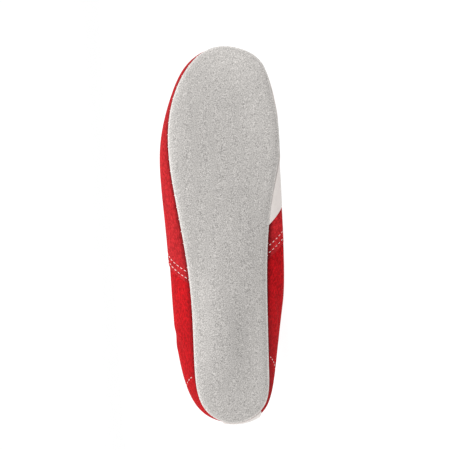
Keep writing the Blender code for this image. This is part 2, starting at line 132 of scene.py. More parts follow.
# Slow painted light and shade on the sole, with some of the nap's own colour drift: x, y, reach along, reach
# across, and how much lighter or darker it looks
SOLE_PAINTED_SHADING = (
    ("toe", 276.0, -2.0, 26.0, 42.0, 0.085),
    ("medial_ball", 228.0, 18.0, 24.0, 10.0, 0.035),
    ("lateral_waist", 74.0, -19.0, 48.0, 9.0, 0.088),
    ("heel_hollow", 62.0, 8.0, 36.0, 10.0, -0.078),
    ("medial_waist", 134.0, 17.0, 60.0, 14.0, -0.035),
    ("lateral_toe_edge", 246.0, -40.0, 26.0, 8.0, 0.05),
    ("lateral_ball_edge", 196.0, -43.0, 34.0, 10.0, 0.06),
    ("lateral_joint_edge", 140.0, -36.0, 40.0, 9.0, 0.04),
)
TONE_GAMMA = 2.2
# Pale turned edge of the sole, partly its paler cut edge and partly a painted highlight: strength, and where
# it fades in by distance from the edge and by height
RIM_PALE_AND_HIGHLIGHT = 0.3
RIM_INWARD = (1.8, 0.2)
RIM_RISE = (0.2, 0.9)
# Shade at the top of that edge: strength and heights
RIM_SHADE = 0.45
RIM_SHADE_RISE = (3.9, 4.5)
# Painted highlight along the edge's medial side: strength, and where it fades in across the sole and along it
MEDIAL_RIM_HIGHLIGHT = 0.14
MEDIAL_ACROSS = (0.0, 8.0)
MEDIAL_LINE = (150.0, 132.0)

# Insole section: inward from the insole's edge and height over its bottom, and shares of its top rings
INSOLE_SECTION = ((0.5, 0.0), (0.0, 0.6), (0.0, 1.6), (0.4, 2.3), (1.4, INSOLE_THICK))
INSOLE_TOP_SHARES = (0.75, 0.5, 0.25, SPINE_SHARE)
INSOLE_COLUMNS = 10

# Rear edge of the vamp on each side, counted from the heel: a leaning edge has its station at the sole,
# and how far it leans with height and height squared
SEAM_LATERAL = (3.5, 1.05, 2.45)
SEAM_MEDIAL = (3.92, 1.6, 1.48)
LAP_EASE = (-0.002, 0.012)

# Upper: columns of each side, close together at the vamp's edge, levels and rim, and the reach of a level
QUARTER_COLUMNS = 92
VAMP_COLUMNS = 100
SEAM_FINE = (0.0012, 0.0025, 0.004, 0.006, 0.01)
VAMP_SHARES = (1.0, 3.0)
UPPER_LEVELS = 66
UPPER_LOW = -0.006
UPPER_CLUSTER = 1.1
RIM_STEPS = 6
REACH_STEP = 0.03
# A station and the whole height in the lining's weave, in millimetres
LINING_STATION = 38.0
LINING_HEIGHT = 108.0

# Soft creases of the upper: places on the path as (around, up), half width and depth in millimetres
CREASES = (
    ("ankle_lateral", ((3.75, 0.8), (3.2, 0.7), (2.5, 0.66), (1.9, 0.68)), 5.0, 2.2),
    ("ankle_lateral_low", ((3.6, 0.62), (3.1, 0.55), (2.5, 0.53)), 4.5, 1.5),
    ("ankle_medial", ((14.3, 0.8), (14.8, 0.7), (15.5, 0.66), (16.1, 0.69)), 5.0, 2.0),
    ("ankle_medial_low", ((14.6, 0.6), (15.2, 0.53), (15.7, 0.52)), 4.5, 1.4),
    ("tendon", ((-0.9, 0.83), (-0.45, 0.8), (0.1, 0.79), (0.7, 0.82)), 4.0, 1.2),
    ("flex_lateral", ((5.6, 0.3), (5.9, 0.42), (6.3, 0.55), (7.0, 0.7)), 4.5, 1.7),
    ("flex_lateral_front", ((6.3, 0.24), (6.6, 0.36), (7.1, 0.5)), 4.0, 1.4),
    ("flex_medial", ((12.3, 0.45), (12.0, 0.55), (11.4, 0.66)), 4.5, 1.4),
    ("toe_top", ((8.1, 0.45), (9.0, 0.5), (9.9, 0.45)), 4.5, 1.1),
    ("waist_lateral", ((4.3, 0.08), (4.7, 0.13), (5.2, 0.12)), 3.5, 0.5),
    ("waist_medial", ((14.6, 0.1), (15.0, 0.17), (15.5, 0.2)), 3.5, 0.6),
    ("quarter_lateral", ((2.2, 0.1), (2.5, 0.2), (2.7, 0.36)), 4.0, 0.6),
    ("instep_lateral", ((5.1, 0.5), (5.5, 0.62), (6.0, 0.76)), 3.6, 1.3),
    ("collar_lateral", ((1.2, 0.9), (1.9, 0.86), (2.8, 0.88)), 3.6, 1.0),
)
CREASE_SAMPLES = 28
CREASE_BLUNT = 0.7
# Ridges beside a crease: share of its depth, and place and reach in its half widths
RIDGE_SHARE = 0.4
RIDGE_PLACE = 1.9
RIDGE_REACH = 0.8

# Painted shade and light of the upper: shade in creases, by the sole and behind the vamp's edge, and shade
# that turns to light over the distance beyond the sole
CREASE_SHADE = 0.16
CREASE_TONES = (-0.3, 0.1)
SOLE_SHADE = 0.55
SOLE_SHADE_UP = (0.006, 0.046)
SEAM_SHADE = 0.3
LATERAL_SHADE = 0.15
MEDIAL_SHADE = 0.55
MEDIAL_FADE = 1.5
SHADE_REACH = 9.0
SHADE_MIDDLE = 0.8

# White panel on the medial forefoot, in stations around and levels up, with its rear edge as a leaning one
PANEL_FRONT = 10.4
PANEL_REAR = (13.46, -1.78, -2.65)
PANEL_BOTTOM = -0.004
PANEL_TOP = (0.24, 0.42)
PANEL_EASE = 0.06
PANEL_GRID = (120, 44)
# Its front end is thinned: the thickness at the edge and the share of its length that thins
SKIVED_EDGE = 0.2
SKIVED_SHARE = 0.2

# White strip up the heel, in stations around and levels up
STRIP_LATERAL = 0.3
STRIP_MEDIAL = (-0.85, -0.4)
STRIP_UP = (0.03, 0.97)
STRIP_EASE = 0.01
STRIP_GRID = (30, 90)

# Edges of both white pieces: radius, height of the lower face, share of the height at the edge, and shade
OVERLAY_ROUND = 0.7
OVERLAY_FOOT = 0.1
OVERLAY_EDGE = 0.3
EDGE_SHADE = 0.08

# Tongue: levels of its columns under each throat edge, stations of its first and last rows,
# and rows past the collar with x and z from its first row and width as a share of it
TONGUE_LEVELS = (0.78, 0.89, 1.0)
TONGUE_STATIONS = (4.1, 7.5)
TONGUE_ROWS = 10
TONGUE_TOP = ((-8.0, 4.0, 0.86), (-13.0, 14.0, 0.7))
TONGUE_SUNK = 1.3
TONGUE_GRID = (70, 36)
# Share of its thickness at its edge, and painted shade towards its edges
TONGUE_EDGE = 0.15
TONGUE_SHADE = 0.1
# Front edge of the tongue under the vamp, from its lateral side to its middle
FRONT_STATIONS = (7.55, 8.0, 8.5, 9.0)
FRONT_LEVELS = (0.74, 0.79, 0.83, 0.845)

# Eyelets: places on the lateral side, sizes of the ring, and the hole in the upper
EYELET_PAIRS = 7
EYELET_FIRST = 4.2
EYELET_LAST = 6.0
EYELET_UP = 0.91
EYELET_INNER_R = 2.2
EYELET_OUTER_R = 4.0
EYELET_HEIGHT = 1.0
EYELET_HOLE = 2.3
EYELET_SIDES = 36
EYELET_STEPS = 10
# Barrel: height over the upper and radius
BARREL_SECTION = (
    (-0.3, EYELET_OUTER_R - 0.2),
    (-WALL - 0.4, EYELET_INNER_R + 0.5),
    (-WALL - 0.4, EYELET_INNER_R),
)
EYELET_STATIONS = np.linspace(EYELET_FIRST, EYELET_LAST, EYELET_PAIRS)
ALL_EYELETS = np.concatenate([EYELET_STATIONS, STATIONS - EYELET_STATIONS])

# Lace: its section, with how square that is, the step along it and its sides
LACE_WIDTH = 6.0
LACE_THICK = 1.3
LACE_SQUARE = 0.7
LACE_STEP = 0.9
LACE_SIDES = 14
# Heights of its run over the throat: crown, on the flaps, at their edges, at a crossing with the upper
# strand's lift, past it and under the flaps
LACE_CROWN = 1.5
LACE_ON_FLAP = 2.2
LACE_ON_EDGE = 1.76
LACE_MIDDLE = -0.6
LACE_OVER = 0.75
LACE_PAST = -1.6
LACE_UNDER = -2.8
# Its run through an eyelet: height, how far towards the throat in levels, and share of its width
EYELET_RUN = ((LACE_UNDER, 0.035, 0.75), (-0.6 * WALL, 0.0, 0.5), (0.4, 0.0, 0.5), (LACE_ON_FLAP, 0.03, 0.75))
# Shares of the throat at which its crossings and its lowest bar are placed
CROSSING_SHARES = (0.12, 0.3, 0.5, 0.7, 0.88)
BAR_SHARES = (0.1, 0.35, 0.65, 0.9)
# Least step between the points that it follows, and least shares of width and thickness where it is gathered
LACE_KNOT_STEP = 0.5
LACE_NARROWEST = 0.45
LACE_THICKEST = 0.6

# Stitches as pitch, length and rise: full ones, and two kinds that are pulled down into the nap
FULL_STITCH = (5.2, 3.3, 0.28)
SHORT_STITCH = (3.8, 2.1, 0.14)
HEEL_STITCH = (5.6, 3.2, 0.16)
# A stitch's radius, its share at the ends, the share that is sunk, how blunt the bow is, rings and sides
STITCH_RADIUS = 0.23
STITCH_END = 0.55
STITCH_SUNK = 0.7
BOW_BLUNT = 0.6
STITCH_RINGS = 6
STITCH_SIDES = 7
# Rows of stitches: distances in front of the vamp's edge, and the rows' levels
LATERAL_ROWS = (4.0, 9.2)
MEDIAL_ROWS = (4.7, 10.1)
ROW_UP = (0.004, 0.95)
ROW_SAMPLES = 160
# Heel rows: station at the sole, lean and bend towards the heel, lowest and highest level
HEEL_ROW_LATERAL = (1.86, -0.9, -2.2, 0.04, 0.63)
HEEL_ROW_MEDIAL = (2.27, -1.2, -1.9, 0.03, 0.62)
# Top rows: level, first and last station
TOP_ROWS = ((0.965, 0.45, 4.05), (0.965, 4.1, 6.5), (0.845, 4.1, 6.2))
# Rows on the white pieces: share in from the edge, and shares along it
OVERLAY_ROW_IN = 0.05
OVERLAY_ROW = (0.03, 0.97)
# Threads across the sole's seam: pitch, lower end as inward and height, upper end as level, rise, fall and
# length of the direction they face, clearance on the floor, and samples of the edge to a station
TICK_PITCH = 9.0
TICK_INSET = 0.35
TICK_LOW = 2.4
TICK_UP = 0.006
TICK_RISE = 0.5
TICK_DOWN = 0.4
TICK_FACING = 1.08
TICK_CLEAR = 0.3
TICK_SAMPLES = 40

# Napped suedes: dark and light colour as 8-bit sRGB, strength of the grain and of the patches, sheen
SUEDES = {
    "sole_suede": ((164, 161, 158), (169, 166, 163), 0.64, 0.03, 0.0),
    "upper_suede": ((126, 8, 13), (188, 17, 25), 0.5, 0.12, 0.06),
    # The vamp's suede is the upper's red made paler: painted sheen
    "vamp_suede_painted_sheen": ((132, 21, 25), (188, 38, 43), 0.5, 0.12, 0.06),
    "tongue_nap": ((126, 8, 13), (188, 17, 25), 0.5, 0.12, 0.06),
}
# Woven cloths: dark and light colour, and the pitch of the threads in millimetres
CLOTHS = {
    "lining_cloth": ((196, 190, 182), (226, 221, 214), 1.3),
    "insole_weave": ((190, 184, 174), (222, 216, 206), 1.6),
    "lace_weave": ((205, 202, 197), (240, 238, 234), 1.7),
}
# Other colours: dark and light, or a single one
# White leather greyed below its own colour: painted shade
SHADED_WHITE_LEATHER = ((200, 193, 189), (211, 205, 201))
WHITE_THREAD = ((216, 202, 198), (244, 238, 234))
RED_THREAD = ((140, 20, 28), (172, 30, 38))
EYELET_COLOUR = (205, 205, 208)
FLOOR_COLOUR = (84, 84, 84)
FLOOR_GLOW = 0.98
WHITE = (1.0, 1.0, 1.0, 1.0)

# Features of the materials to a metre, and the stretch of brushed nap and of marks on metal
NAP_FINE = 1600.0
NAP_BRUSHED = 420.0
NAP_DRIFT = 35.0
BRUSHED_STRETCH = (1.0, 1.6, 1.0)
PEBBLES = 900.0
LEATHER_DRIFT = 60.0
CLOTH_SPECKS = 300.0
THREAD_TWIST = 1500.0
METAL_MARKS = 700.0
MARKS_STRETCH = (1.0, 6.0, 1.0)
# Length of a wave texture at scale 1
WAVE_LENGTH = 2.0 * math.pi / 20.0
# Depths of relief, in millimetres
NAP_RELIEF = 0.25
PEBBLE_RELIEF = 0.08
WEAVE_RELIEF = 0.15
THREAD_RELIEF = 0.1
METAL_RELIEF = 0.03

# The photograph's view: distance, width of the sole's plane across the picture, and the picture's middle
CAMERA_DISTANCE = 1400.0
VIEW_WIDTH = 329.9
VIEW_MIDDLE = (145.1, -2.9, 0.0)

# Stage, in metres and watts: reach of the floor, strength of the white surroundings, and the soft light
FLOOR_REACH = 40.0
HORIZON_LIGHT = 1.0
OVERHEAD_LIGHT = 2.0
KEY_PLACE = (0.0, -0.7, 1.3)
KEY_AIM = (0.0, -0.05, 0.05)
KEY_SIZE = 1.2
KEY_POWER = 3.0


def smooth(low, high, value):
    """0 up to low, 1 from high, eased between them."""
    share = np.clip((value - low) / (high - low), 0.0, 1.0)
    return share * share * (3.0 - 2.0 * share)


def between(ends, share):
    """A value part of the way from one end to the other."""
    return ends[0] + (ends[1] - ends[0]) * share


def unit(vectors):
    """Vectors brought to a length of 1."""
    return vectors / np.linalg.norm(vectors, axis=-1, keepdims=True)


def run_lengths(points):
    """Length along a run of points up to each of them."""
    return np.concatenate([[0.0], np.cumsum(np.linalg.norm(np.diff(points, axis=0), axis=1))])


def spline_weights(knots, where):
    """Weight of each knot's value in the natural cubic spline read at each place."""
    knots = np.asarray(knots, float)
    where = np.asarray(where, float)
    count = len(knots)
    step = np.diff(knots)
    left = np.zeros((count, count))
    right = np.zeros((count, count))
    left[0, :2] = 2.0, 1.0
    left[-1, -2:] = 1.0, 2.0
    right[0, :2] = -3.0 / step[0], 3.0 / step[0]
    right[-1, -2:] = -3.0 / step[-1], 3.0 / step[-1]
    for i in range(1, count - 1):
        before = 1.0 / step[i - 1]
        after = 1.0 / step[i]
        left[i, i - 1 : i + 2] = before, 2.0 * (before + after), after
        right[i, i - 1 : i + 2] = -3.0 * before**2, 3.0 * (before**2 - after**2), 3.0 * after**2
    slopes = np.linalg.solve(left, right)
    span = np.clip(np.searchsorted(knots, where, side="right") - 1, 0, count - 2)
    width = step[span][:, None]
    local = ((where - knots[span]) / step[span])[:, None]
    ends = np.eye(count)
    weights = (1.0 + 2.0 * local) * (1.0 - local) ** 2 * ends[span]
    weights += local**2 * (3.0 - 2.0 * local) * ends[span + 1]
    weights += local * (1.0 - local) ** 2 * width * slopes[span]
    weights -= local**2 * (1.0 - local) * width * slopes[span + 1]
    return weights


def ring_weights(around):
    """Weight of each meridian on the closed ring, at places given in stations."""
    knots = np.arange(-WRAP, STATIONS + WRAP + 1)
    padded = spline_weights(knots, np.mod(around, STATIONS))
    weights = np.zeros((len(padded), STATIONS))
    for column, knot in enumerate(knots):
        weights[:, knot % STATIONS] += padded[:, column]
    return weights


SOLE_EDGE = np.array([row[1] for row in MERIDIANS], float)
RINGS = np.array(
    [[(*row[1], 0.0) for row in MERIDIANS]] + [[row[level] for row in MERIDIANS] for level in (2, 3, 4)],
    float,
)


def sole_edge(around, inward):
    """Outline of the sole in plan, moved inward by a distance."""
    around = np.asarray(around, float)
    edge = ring_weights(around) @ SOLE_EDGE
    ahead = ring_weights(around + SMALL_STEP) @ SOLE_EDGE
    behind = ring_weights(around - SMALL_STEP) @ SOLE_EDGE
    tangent = unit(ahead - behind)
    return edge + np.asarray(inward)[..., None] * np.stack([-tangent[:, 1], tangent[:, 0]], axis=1)


def lift(x, y):
    """Rise of the sole at a point in plan: toe spring, rolled heel end and medial arch."""
    toe = TOE_SPRING * np.clip((x - TOE_BREAK) / (LENGTH - TOE_BREAK), 0.0, None) ** 2
    heel = HEEL_ROLL * np.clip((HEEL_BREAK - x) / HEEL_BREAK, 0.0, None) ** 2
    arch = ARCH_RISE * smooth(*ARCH_STARTS, x) * (1.0 - smooth(*ARCH_ENDS, x)) * smooth(*ARCH_ACROSS, y)
    return toe + heel + arch


def surface(around, up):
    """Outer face of the last: around in stations from the heel, up from 0 at the sole to 1 at the top."""
    up_weights = spline_weights(LEVELS, up)
    points = np.einsum("nk,ns,ksc->nc", up_weights, ring_weights(around), RINGS)
    outline = sole_edge(around, 0.0)
    feather = sole_edge(around, FEATHER_INSET)
    points[:, :2] += up_weights[:, :1] * (feather - outline)
    points[:, 2] += up_weights[:, 0] * (SOLE_THICK + GAP + lift(feather[:, 0], feather[:, 1]))
    return points


def normals(around, up):
    """Outward normals of the last's outer face."""
    along = surface(around + SMALL_STEP, up) - surface(around - SMALL_STEP, up)
    rise = surface(around, up + SMALL_STEP) - surface(around, up - SMALL_STEP)
    return unit(np.cross(along, rise))


def floor_y(points):
    """The floor's place across the shoe, under or over each point."""
    along = FLOOR_SLOPE_ALONG * (points[..., 0] - FLOOR_POINT[0])
    rise = FLOOR_SLOPE_UP * (points[..., 2] - FLOOR_POINT[2])
    return FLOOR_POINT[1] + along + rise


def pressed(points):
    """Points that would pass the floor are pressed back to it."""
    flat = points.copy()
    flat[..., 1] = np.minimum(flat[..., 1], floor_y(points))
    return flat


def settled(points, clearance):
    """Points that would pass the floor lie down with a soft bend, at a clearance over it."""
    soft = points.copy()
    over = (soft[..., 1] - floor_y(points) + clearance) / PRESS_SOFT
    soft[..., 1] -= PRESS_SOFT * np.logaddexp(0.0, over)
    return soft


def leaning(edge, up):
    """Station of a leaning edge at each level."""
    return edge[0] + edge[1] * up + edge[2] * up**2


def under_panel(around, up):
    """1 where the white panel covers the upper, 0 elsewhere."""
    behind_front = smooth(PANEL_FRONT - PANEL_EASE, PANEL_FRONT, around)
    rear = leaning(PANEL_REAR, up)
    return behind_front * (1.0 - smooth(rear, rear + PANEL_EASE, around))


def under_strip(around, up):
    """1 where the medial part of the white heel strip covers the upper, 0 elsewhere."""
    height = (up - STRIP_UP[0]) / (STRIP_UP[1] - STRIP_UP[0])
    edge = STATIONS + between(STRIP_MEDIAL, height)
    return smooth(edge - PANEL_EASE, edge, around) * smooth(1.0, STRIP_UP[1] - STRIP_EASE, up)


def spread(share, up):
    """Stations of columns, whose shares 0 to 4 are heel, lateral seam, toe, medial seam and heel."""
    lateral = leaning(SEAM_LATERAL, up)
    medial = leaning(SEAM_MEDIAL, up)
    bounds = (0.0, lateral, TOE_STATION, STATIONS - medial, STATIONS)
    around = np.zeros_like(share + up)
    for piece, (start, end) in enumerate(zip(bounds[:-1], bounds[1:])):
        around += np.clip(share - piece, 0.0, 1.0) * (end - start)
    return around


def floor_turn():
    """Turn from the shoe's frame to one with x along the shoe and z up from the floor."""
    down = unit(np.array([-FLOOR_SLOPE_ALONG, 1.0, -FLOOR_SLOPE_UP]))
    along = unit(np.array([1.0, 0.0, 0.0]) - down * down[0])
    return np.array([along, np.cross(-down, along), -down])


TURN = floor_turn()


def laid_down(points):
    """Points in the shoe's frame turned so that the floor is the plane z = 0, in metres."""
    turned = points @ TURN.T
    turned[:, 2] -= TURN[2] @ np.array(FLOOR_POINT)
    return turned * MM


def sole_ring(around, inward, height, share=1.0):
    """Ring of the sole at a height and a distance in from its edge, or a share of the way to it."""
    edge = sole_edge(around, inward)
    x = np.clip(edge[:, 0], *SPINE_X)
    spine = np.column_stack([x, between(SPINE_Y, x / LENGTH)])
    plan = spine + share * (edge - spine)
    return np.column_stack([plan, height + lift(plan[:, 0], plan[:, 1])])


def all_round(columns):
    """Stations once round the shoe, with a number of columns to each."""
    return np.arange(STATIONS * columns) / columns


def packed_shift():
    """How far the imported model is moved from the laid-down shoe, found from the sole's box."""
    around = all_round(CAD_COLUMNS)
    own = laid_down(pressed(np.concatenate([sole_ring(around, *place) for place in SOLE_SECTION])))
    low, high = (np.array(corner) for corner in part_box("outsole"))
    shift = ((low + high) - (own.min(0) + own.max(0))) / 2.0
    return np.array([shift[0], shift[1], 0.0])


SHIFT = packed_shift()


def in_world(points):
    """Points of the shoe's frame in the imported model's frame, in metres."""
    return laid_down(np.asarray(points, float).reshape(-1, 3)) + SHIFT


def crease_paths():
    """Sampled points on the skin along each crease, with its half width and how deep it is at each."""
    paths = []
    along = np.linspace(0.0, 1.0, CREASE_SAMPLES)
    for _, places, width, depth in CREASES:
        knots = np.linspace(0.0, 1.0, len(places))
        around, up = (spline_weights(knots, along) @ np.array(places)).T
        paths.append((surface(around, up), width, depth * np.sin(math.pi * along) ** CREASE_BLUNT))
    return paths


CREASE_PATHS = crease_paths()


def crease_push(points):
    """How far the creases near each point of the skin push it out: a trough between two low ridges."""
    push = np.zeros(len(points))
    for path, width, depths in CREASE_PATHS:
        gaps = np.linalg.norm(points[:, None, :] - path[None, :, :], axis=2)
        nearest = gaps.argmin(1)
        gap = gaps[np.arange(len(points)), nearest] / width
        ridge = RIDGE_SHARE * np.exp(-(((gap - RIDGE_PLACE) / RIDGE_REACH) ** 2))
        push -= depths[nearest] * (np.exp(-(gap**2)) - ridge)
    return push


def bare_skin(around, up):
    """Points of the last's outer face and its outward normals, for grids of places on it."""
    shape = (*around.shape, 3)
    places = around.ravel(), up.ravel()
    return surface(*places).reshape(shape), normals(*places).reshape(shape)


def skin(around, up, outward=0.0, clearance=0.0):
    """Points over the creased skin of the upper, with its outward normals, for grids of places on it."""
    around, up, outward = np.broadcast_arrays(np.asarray(around, float), up, outward)
    base, normal = bare_skin(around, up)
    push = outward + crease_push(base.reshape(-1, 3)).reshape(around.shape)
    return settled(base + push[..., None] * normal, clearance), normal


def seam_step(around, up):
    """How far the lapped vamp stands out from the quarters at places on the skin."""
    lateral = leaning(SEAM_LATERAL, up)
    medial = STATIONS - leaning(SEAM_MEDIAL, up)
    return VAMP_STEP * smooth(*LAP_EASE, around - lateral) * smooth(*LAP_EASE, medial - around)


def spots(table, points):
    """Sum of soft round spots, each given by its middle, its reach along and across, and its strength."""
    total = np.zeros(len(points))
    for _, x, y, along, across, strength in table:
        gap = ((points[:, 0] - x) / along) ** 2 + ((points[:, 1] - y) / across) ** 2
        total += strength * np.exp(-gap)
    return total


def eased(count):
    """Shares from 0 to 1 that lie close together at both ends."""
    return 0.5 - 0.5 * np.cos(math.pi * np.linspace(0.0, 1.0, count))


def rounding(points, radius):
    """0 on the border of a grid of points and 1 from the radius inwards, rounded between them."""
    gaps = []
    for axis in (0, 1):
        steps = np.linalg.norm(np.diff(points, axis=axis), axis=2)
        start = np.cumsum(np.insert(steps, 0, 0.0, axis=axis), axis=axis)
        gaps += [start, np.take(start, [-1], axis=axis) - start]
    inside = np.clip(np.minimum.reduce(gaps) / radius, 0.0, 1.0)
    return np.sqrt(1.0 - (1.0 - inside) ** 2)


def grid_faces(count, rows, closed=(False, False)):
    """Faces of a grid of points, which may close round in each direction."""
    i, j = np.meshgrid(np.arange(count - 1 + closed[0]), np.arange(rows - 1 + closed[1]), indexing="ij")
    here = i * rows
    beside = (i + 1) % count * rows
    over = (j + 1) % rows
    return np.stack([here + j, beside + j, beside + over, here + over], axis=2).reshape(-1, 4)


def tube_faces(rings, size):
    """Faces of a tube of rings with size points each, closed at both ends."""
    first = list(range(size))
    last = [(rings - 1) * size + k for k in reversed(first)]
    return grid_faces(rings, size, (False, True))[:, ::-1].tolist() + [first, last]


def pad_faces(rings, size):
    """Faces of a flat body of rings, whose first and last ones are filled from side to side."""
    half = size // 2
    bottom = [[0, size - 1, 1]]
    bottom += [[k, size - k, size - k - 1, k + 1] for k in range(1, half - 1)]
    bottom.append([half - 1, half + 1, half])
    last = (rings - 1) * size
    top = [[last + corner for corner in face[::-1]] for face in bottom]
    sides = np.roll(grid_faces(rings, size, (False, True))[:, ::-1], 1, axis=1)
    return sides.tolist() + bottom + top


def in_scene(name, data):
    """A new object in the scene."""
    made = bpy.data.objects.new(name, data)
    bpy.context.scene.collection.objects.link(made)
    return made


def add_piece(name, points, faces, stuffs, nodes=(), face_stuff=None, painted_shades=None, weave=None):
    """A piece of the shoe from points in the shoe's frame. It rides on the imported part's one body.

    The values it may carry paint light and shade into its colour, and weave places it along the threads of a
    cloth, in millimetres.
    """
    mesh = bpy.data.meshes.new(name)
    mesh.from_pydata(in_world(points).tolist(), [], faces)
    for stuff in stuffs:
        mesh.materials.append(stuff)
    if face_stuff is not None:
        mesh.polygons.foreach_set("material_index", np.asarray(face_stuff, np.int32))
    if painted_shades is not None:
        carried = mesh.attributes.new("painted_shading", "FLOAT", "POINT")
        carried.data.foreach_set("value", np.asarray(painted_shades, np.float32))
    if weave is not None:
        carried = mesh.attributes.new("weave", "FLOAT_VECTOR", "POINT")
        threads = np.column_stack([weave, np.zeros(len(weave))])
        carried.data.foreach_set("vector", threads.astype(np.float32).ravel())
    mesh.validate()
    mesh.shade_smooth()
    made = in_scene(name, mesh)
    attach(made, "root")
    if nodes:
        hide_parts(*nodes)


def add_slab(name, top, bottom, stuffs, nodes, rounded, shade, weave=None):
    """A closed piece between two grids of points, its second material on the bottom if it has one.

    Its top is shaded by a share towards the edges, where rounded goes from 1 to 0.
    """
    count, rows = top.shape[:2]
    size = count * rows
    upper = grid_faces(count, rows).tolist()
    lower = [[size + corner for corner in face[::-1]] for face in upper]
    border = [i * rows for i in range(count)]
    border += [(count - 1) * rows + j for j in range(1, rows)]
    border += [i * rows + rows - 1 for i in range(count - 2, -1, -1)]
    border += list(range(rows - 2, 0, -1))
    sides = [[end, start, size + start, size + end] for start, end in zip(border, border[1:] + border[:1])]
    face_stuff = [0] * len(upper) + [len(stuffs) - 1] * len(lower) + [0] * len(sides)
    points = np.concatenate([top.reshape(-1, 3), bottom.reshape(-1, 3)])
    painted_shades = np.concatenate([1.0 - shade * (1.0 - rounded.ravel()), np.ones(size)])
    add_piece(name, points, upper + lower + sides, stuffs, nodes, face_stuff, painted_shades, weave)


def linear(channel):
    """Linear value of one 8-bit sRGB channel."""
    value = channel / 255.0
    return value / 12.92 if value <= 0.04045 else ((value + 0.055) / 1.055) ** 2.4


def srgb(colour):
    """Linear colour with full alpha from an 8-bit sRGB one."""
    return (*map(linear, colour), 1.0)


def feed(tree, node, inputs):
    """Values, or what other nodes give, at the inputs of a node."""
    for key, value in inputs.items():
        if isinstance(value, bpy.types.NodeSocket):
            tree.links.new(value, node.inputs[key])
        else:
            node.inputs[key].default_value = value


def add_node(tree, kind, inputs, **settings):
    """A shader node with its settings and inputs."""
    made = tree.nodes.new(kind)
    for key, value in settings.items():
        setattr(made, key, value)
    feed(tree, made, inputs)
    return made


def new_material(name, colour, roughness):
    """A Principled material with its colour as 8-bit sRGB, and its nodes and shader."""
    made = bpy.data.materials.new(name)
    made.use_nodes = True
    shader = made.node_tree.nodes["Principled BSDF"]
    feed(made.node_tree, shader, {"Base Color": srgb(colour), "Roughness": roughness})
    return made, made.node_tree, shader


def own_space(tree):
    """Places in the object's own space, in metres."""
    return add_node(tree, "ShaderNodeTexCoord", {}).outputs["Object"]


def carried_by(tree, name, output):
    """What the points of a piece carry under a name."""
    return add_node(tree, "ShaderNodeAttribute", {}, attribute_name=name).outputs[output]


def noise(tree, scale, detail=2.0, stretch=(1.0, 1.0, 1.0)):
    """Noise over the object's own space, with features of about 1 / scale metres."""
    mapped = add_node(tree, "ShaderNodeMapping", {"Vector": own_space(tree), "Scale": stretch})
    inputs = {"Vector": mapped.outputs["Vector"], "Scale": scale, "Detail": detail, "Roughness": 0.55}
    return add_node(tree, "ShaderNodeTexNoise", inputs).outputs["Fac"]


def ramp(tree, value, low, high, from_low=0.25, from_high=0.75):
    """A value mapped from one range to another, without going past the ends."""
    inputs = {"Value": value, "From Min": from_low, "From Max": from_high, "To Min": low, "To Max": high}
    return add_node(tree, "ShaderNodeMapRange", inputs).outputs["Result"]


def times(tree, first, second):
    """The product of two values."""
    return add_node(tree, "ShaderNodeMath", {0: first, 1: second}, operation="MULTIPLY").outputs["Value"]


def scaled(tree, colour, value):
    """A colour made lighter or darker by a value."""
    made = add_node(tree, "ShaderNodeVectorMath", {0: colour, "Scale": value}, operation="SCALE")
    return made.outputs["Vector"]


def blended(tree, value, dark, light):
    """A colour between two 8-bit ones."""
    inputs = {"Factor": value, "A": srgb(dark), "B": srgb(light)}
    return add_node(tree, "ShaderNodeMix", inputs, data_type="RGBA").outputs["Result"]


def relief(tree, height, distance):
    """Normals of fine relief from a height value, as deep as the distance in millimetres."""
    inputs = {"Height": height, "Distance": distance * MM, "Strength": 1.0}
    return add_node(tree, "ShaderNodeBump", inputs).outputs["Normal"]


def suede(name):
    """Napped suede: fine grain, brushed patches and a soft sheen."""
    dark, light, grain, patch, sheen = SUEDES[name]
    made, tree, shader = new_material(name, light, 0.95)
    fine = noise(tree, NAP_FINE, 3.0)
    brushed = ramp(tree, noise(tree, NAP_BRUSHED, 3.0, BRUSHED_STRETCH), 0.0, 1.0, 0.3, 0.7)
    speck = ramp(tree, fine, 1.0 - grain, 1.0 + grain)
    drift = ramp(tree, noise(tree, NAP_DRIFT), 1.0 - patch, 1.0 + patch)
    # The colour is scaled by the painted light and shade that the piece's points carry
    value = times(tree, times(tree, speck, drift), carried_by(tree, "painted_shading", "Fac"))
    feed(tree, shader, {
        "Base Color": scaled(tree, blended(tree, brushed, dark, light), value),
        "Specular IOR Level": 0.06,
        "Sheen Weight": sheen,
        "Sheen Roughness": 0.5,
        "Sheen Tint": srgb(light),
        "Normal": relief(tree, fine, NAP_RELIEF),
    })
    return made


def leather(name, dark, light):
    """Smooth leather with a fine pebble grain and a dull gloss."""
    made, tree, shader = new_material(name, light, 0.5)
    inputs = {"Vector": own_space(tree), "Scale": PEBBLES, "Randomness": 1.0}
    pebble = add_node(tree, "ShaderNodeTexVoronoi", inputs)
    drift = noise(tree, LEATHER_DRIFT, 3.0)
    tint = blended(tree, ramp(tree, drift, 0.0, 1.0), dark, light)
    # The colour is scaled by the painted shade that the piece's points carry
    feed(tree, shader, {
        "Base Color": scaled(tree, tint, carried_by(tree, "painted_shading", "Fac")),
        "Roughness": ramp(tree, drift, 0.42, 0.62),
        "Specular IOR Level": 0.4,
        "Normal": relief(tree, pebble.outputs["Distance"], PEBBLE_RELIEF),
    })
    return made


